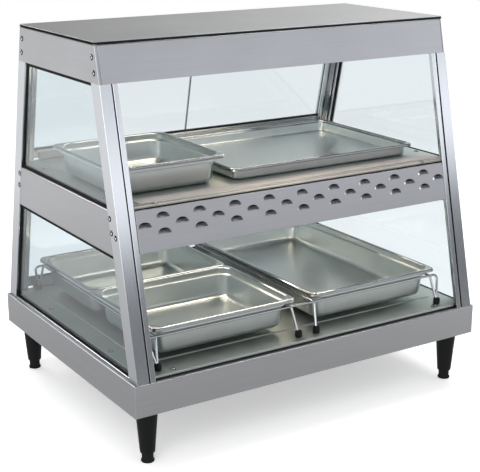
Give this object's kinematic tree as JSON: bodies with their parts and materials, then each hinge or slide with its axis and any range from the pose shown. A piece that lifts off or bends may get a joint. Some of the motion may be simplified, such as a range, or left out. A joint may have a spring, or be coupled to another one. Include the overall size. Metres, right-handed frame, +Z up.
{
  "type": "heated display case",
  "caption": "Countertop heated food display case: sloping glass ends, heated base and shelf under a canopy, flip-up rear glass doors, wire rack with food pans.",
  "frame": {"origin": "on the floor under the middle of the case", "axes": "+X to the right as the customer sees it, -Y towards the customer, +Z up; the doors and the controls are at +Y"},
  "size_m": [0.826, 0.614, 0.781],
  "materials": {
    "stainless_sheet": "brushed",
    "polished_deck": "polished",
    "pan_steel": "satin",
    "chromed_wire": "plated",
    "screw_steel": "polished",
    "post_aluminium": "anodised satin",
    "clear_glass": "clear",
    "black_rubber": "matte",
    "black_plastic": "moulded",
    "white_plastic": "moulded",
    "rocker_plastic": "gloss",
    "heater_film": "film",
    "mineral_wool": "matte",
    "lamp_quartz": "frosted",
    "reflector_aluminium": "polished"
  },
  "bodies": {
    "case": {"base_bottom_plate": "stainless_sheet", "base_deck": "polished_deck", "base_shell": "stainless_sheet", "cable_gland": "black_plastic", "canopy_ends": "stainless_sheet", "canopy_front_panel": "stainless_sheet", "canopy_rear_panel": "stainless_sheet", "canopy_screws": "screw_steel", "canopy_top": "stainless_sheet", "canopy_underside": "stainless_sheet", "control_panel": "stainless_sheet", "deck_screws": "screw_steel", "door_sills": "stainless_sheet", "front_posts": "post_aluminium", "glazing_gaskets": "black_rubber", "heater_mats": "heater_film", "hinge_brackets": "post_aluminium", "insulation": "mineral_wool", "lamp_fittings": "reflector_aluminium", "lamp_tubes": "lamp_quartz", "legs": "black_plastic", "rear_posts": "post_aluminium", "seals": "black_rubber", "shelf_bands": "stainless_sheet", "shelf_deck": "polished_deck", "shelf_front_fascia": "stainless_sheet", "shelf_rear_fascia": "stainless_sheet", "shelf_screws": "screw_steel", "shelf_underside": "stainless_sheet", "side_glass_lower": "clear_glass", "side_glass_upper": "clear_glass", "switch_housings": "black_plastic", "terminal_block": "white_plastic", "thermostats": "black_plastic"},
    "door_upper_left": {"door_glass_upper_left": "clear_glass", "door_rails_upper_left": "post_aluminium"},
    "door_upper_right": {"door_glass_upper_right": "clear_glass", "door_rails_upper_right": "post_aluminium"},
    "door_lower_left": {"door_glass_lower_left": "clear_glass", "door_rails_lower_left": "post_aluminium"},
    "door_lower_right": {"door_glass_lower_right": "clear_glass", "door_rails_lower_right": "post_aluminium"},
    "foot_front_left": {"foot_front_left": "black_rubber"},
    "foot_front_right": {"foot_front_right": "black_rubber"},
    "foot_rear_left": {"foot_rear_left": "black_rubber"},
    "foot_rear_right": {"foot_rear_right": "black_rubber"},
    "knob_1": {"knob_1": "black_plastic"},
    "knob_2": {"knob_2": "black_plastic"},
    "rocker_1": {"rocker_1": "rocker_plastic"},
    "rocker_2": {"rocker_2": "rocker_plastic"},
    "rack": {"pan_rack": "chromed_wire", "rack_boots": "black_rubber"},
    "full_pan": {"full_pan": "pan_steel"},
    "half_pan_front": {"half_pan_front": "pan_steel"},
    "half_pan_rear": {"half_pan_rear": "pan_steel"},
    "shelf_pan": {"shelf_pan": "pan_steel"},
    "sheet_tray": {"sheet_tray": "pan_steel"}
  },
  "joints": [
    {"name": "door_upper_left_hinge", "type": "hinge", "parent": "case", "child": "door_upper_left", "pos_m": [0, 0.1795, 0.6965], "axis": [1, 0, 0], "range_deg": [0, 85]},
    {"name": "door_upper_right_hinge", "type": "hinge", "parent": "case", "child": "door_upper_right", "pos_m": [0, 0.1795, 0.6965], "axis": [1, 0, 0], "range_deg": [0, 85]},
    {"name": "door_lower_left_hinge", "type": "hinge", "parent": "case", "child": "door_lower_left", "pos_m": [0, 0.24751, 0.394], "axis": [1, 0, 0], "range_deg": [0, 85]},
    {"name": "door_lower_right_hinge", "type": "hinge", "parent": "case", "child": "door_lower_right", "pos_m": [0, 0.24751, 0.394], "axis": [1, 0, 0], "range_deg": [0, 85]},
    {"name": "foot_front_left_screw", "type": "slide", "parent": "case", "child": "foot_front_left", "axis": [0, 0, -1], "range_m": [0, 0.012]},
    {"name": "foot_front_right_screw", "type": "slide", "parent": "case", "child": "foot_front_right", "axis": [0, 0, -1], "range_m": [0, 0.012]},
    {"name": "foot_rear_left_screw", "type": "slide", "parent": "case", "child": "foot_rear_left", "axis": [0, 0, -1], "range_m": [0, 0.012]},
    {"name": "foot_rear_right_screw", "type": "slide", "parent": "case", "child": "foot_rear_right", "axis": [0, 0, -1], "range_m": [0, 0.012]},
    {"name": "knob_1_turn", "type": "hinge", "parent": "case", "child": "knob_1", "pos_m": [0.185, 0.287, 0.1415], "axis": [0, -1, 0], "range_deg": [0, 270]},
    {"name": "knob_2_turn", "type": "hinge", "parent": "case", "child": "knob_2", "pos_m": [0.235, 0.287, 0.1415], "axis": [0, -1, 0], "range_deg": [0, 270]},
    {"name": "rocker_1_tip", "type": "hinge", "parent": "case", "child": "rocker_1", "pos_m": [0.285, 0.287, 0.1415], "axis": [-1, 0, 0], "range_deg": [0, 16]},
    {"name": "rocker_2_tip", "type": "hinge", "parent": "case", "child": "rocker_2", "pos_m": [0.325, 0.287, 0.1415], "axis": [-1, 0, 0], "range_deg": [0, 16]},
    {"name": "rack_lift", "type": "slide", "parent": "case", "child": "rack", "axis": [0, 0, 1], "range_m": [0, 0.03]},
    {"name": "full_pan_lift", "type": "slide", "parent": "rack", "child": "full_pan", "axis": [0, 0, 1], "range_m": [0, 0.048]},
    {"name": "half_pan_front_lift", "type": "slide", "parent": "rack", "child": "half_pan_front", "axis": [0, 0, 1], "range_m": [0, 0.048]},
    {"name": "half_pan_rear_lift", "type": "slide", "parent": "rack", "child": "half_pan_rear", "axis": [0, 0, 1], "range_m": [0, 0.048]},
    {"name": "shelf_pan_lift", "type": "slide", "parent": "case", "child": "shelf_pan", "axis": [0, 0, 1], "range_m": [0, 0.06]},
    {"name": "sheet_tray_lift", "type": "slide", "parent": "case", "child": "sheet_tray", "axis": [0, 0, 1], "range_m": [0, 0.06]}
  ]
}
